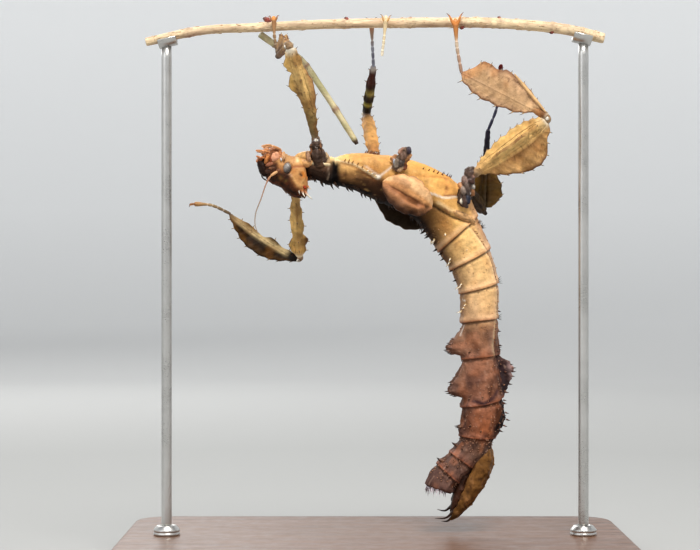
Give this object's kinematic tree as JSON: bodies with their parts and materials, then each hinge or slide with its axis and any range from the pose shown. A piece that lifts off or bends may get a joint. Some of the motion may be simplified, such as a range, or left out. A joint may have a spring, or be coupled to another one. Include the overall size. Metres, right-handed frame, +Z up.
{
  "type": "stick insect model",
  "caption": "Life-size leafy stick insect, an adult female, hanging belly up by its feet from a cut twig on a plain display stand with a flat base and upright rods.",
  "frame": {"origin": "middle of the underside of the stand's base", "axes": "+Z up, along the stand's rods; +X from the insect's head towards its tail, along the base's long side; -Y on the side of the insect's right legs"},
  "size_m": [0.122, 0.076, 0.1312],
  "materials": {
    "body_skin": "satin cuticle",
    "head_skin": "satin cuticle",
    "leg_skin": "satin cuticle",
    "dark_cuticle": "glossy cuticle",
    "foot": "satin cuticle",
    "wing_cover": "matte, veined",
    "belly_scoop": "satin cuticle",
    "eye": "polished",
    "twig": "dry bark",
    "cast_skin": "dry, papery",
    "stand_wood": "oiled",
    "stand_steel": "brushed"
  },
  "bodies": {
    "root": {"head": "head_skin", "eye_right": "eye", "eye_left": "eye", "mouthparts": "head_skin", "antenna_right": "head_skin", "antenna_left": "head_skin", "prothorax": "body_skin", "mesothorax": "body_skin", "metathorax": "body_skin", "abdomen_1": "body_skin", "abdomen_2": "body_skin", "abdomen_3": "body_skin", "abdomen_4": "body_skin", "abdomen_5": "body_skin", "abdomen_6": "body_skin", "abdomen_7": "body_skin", "abdomen_8": "body_skin", "abdomen_9": "body_skin", "abdomen_10": "body_skin", "operculum": "belly_scoop", "ovipositor": "dark_cuticle", "fore_right_coxa": "leg_skin", "fore_right_femur": "leg_skin", "fore_right_tibia": "leg_skin", "fore_right_foot": "foot", "fore_left_coxa": "leg_skin", "fore_left_femur": "leg_skin", "fore_left_tibia": "leg_skin", "fore_left_foot": "foot", "mid_left_coxa": "leg_skin", "mid_left_femur": "leg_skin", "mid_left_tibia": "leg_skin", "mid_left_foot": "foot", "hind_right_coxa": "leg_skin", "hind_right_femur": "leg_skin", "hind_right_tibia": "leg_skin", "hind_right_foot": "foot", "hind_left_coxa": "leg_skin", "hind_left_femur": "leg_skin", "hind_left_tibia": "leg_skin", "hind_left_foot": "foot", "mid_right_stump": "leg_skin", "tegmen_right": "wing_cover", "tegmen_left": "wing_cover", "perch": "twig", "perch_twig": "twig", "cast_foot": "cast_skin", "stand_base": "stand_wood", "stand_rod_left": "stand_steel", "stand_rod_right": "stand_steel", "stand_collar_left": "stand_steel", "stand_collar_right": "stand_steel"}
  },
  "joints": []
}
